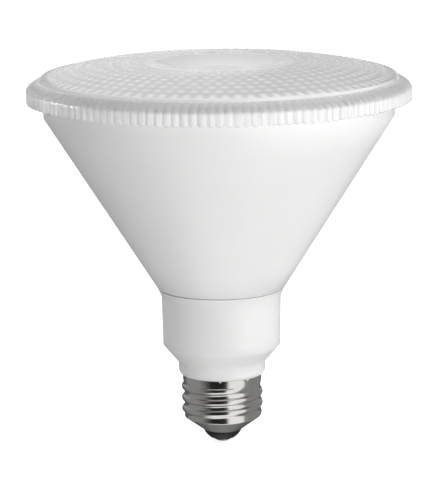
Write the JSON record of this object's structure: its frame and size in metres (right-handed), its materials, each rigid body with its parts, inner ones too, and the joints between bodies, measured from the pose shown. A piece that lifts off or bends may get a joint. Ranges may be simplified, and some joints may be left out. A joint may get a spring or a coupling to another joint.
{
  "type": "led spotlight bulb",
  "caption": "Reflector-shaped spotlight bulb with a clear fluted lens, a white cone housing, a collar and a metal screw base.",
  "frame": {"origin": "middle of the centre contact's lowest face, at the tip of the screw base", "axes": "+Z along the lamp's axis from the screw base to the lens; the driver board stands across Y"},
  "size_m": [0.122, 0.122, 0.1236],
  "materials": {
    "clear_lens": "clear moulded polycarbonate with small lenses",
    "white_housing": "white moulded plastic, satin",
    "white_collar": "white moulded plastic, satin",
    "cast_aluminium": "bare, spun",
    "reflector_white": "bright white moulding",
    "board_white": "white solder mask on metal core",
    "phosphor": "yellow phosphor in a white package",
    "thermal_pad_grey": "soft silicone",
    "steel_screw": "zinc plated",
    "terminal_plastic": "ivory moulding",
    "circuit_board": "green laminate",
    "transformer_tape": "tape and ferrite",
    "capacitor_sleeve": "shrunk sleeve over an aluminium can",
    "film_capacitor_box": "dipped box",
    "chip_black": "moulded epoxy",
    "resistor_body": "coated ceramic",
    "wire_black": "soft insulation",
    "wire_white": "soft insulation",
    "wire_red": "soft insulation",
    "nickel_shell": "bright nickel plate on rolled brass",
    "insulator_black": "black moulding",
    "contact_metal": "nickel plated tack"
  },
  "bodies": {
    "root": {"lens": "clear_lens", "housing_cone": "white_housing", "collar": "white_collar", "heat_sink": "cast_aluminium", "reflector": "reflector_white", "led_board": "board_white", "led_packages": "phosphor", "thermal_pad": "thermal_pad_grey", "board_screws": "steel_screw", "housing_screws": "steel_screw", "led_connector": "terminal_plastic", "driver_board": "circuit_board", "transformer": "transformer_tape", "input_capacitor": "capacitor_sleeve", "output_capacitor": "capacitor_sleeve", "filter_inductor": "chip_black", "film_capacitor": "film_capacitor_box", "bridge_rectifier": "chip_black", "driver_chip": "chip_black", "fuse_resistor": "resistor_body", "live_wire": "wire_black", "neutral_wire": "wire_white", "led_wire_positive": "wire_red", "led_wire_negative": "wire_black", "screw_shell": "nickel_shell", "base_insulator": "insulator_black", "centre_contact": "contact_metal"}
  },
  "joints": []
}
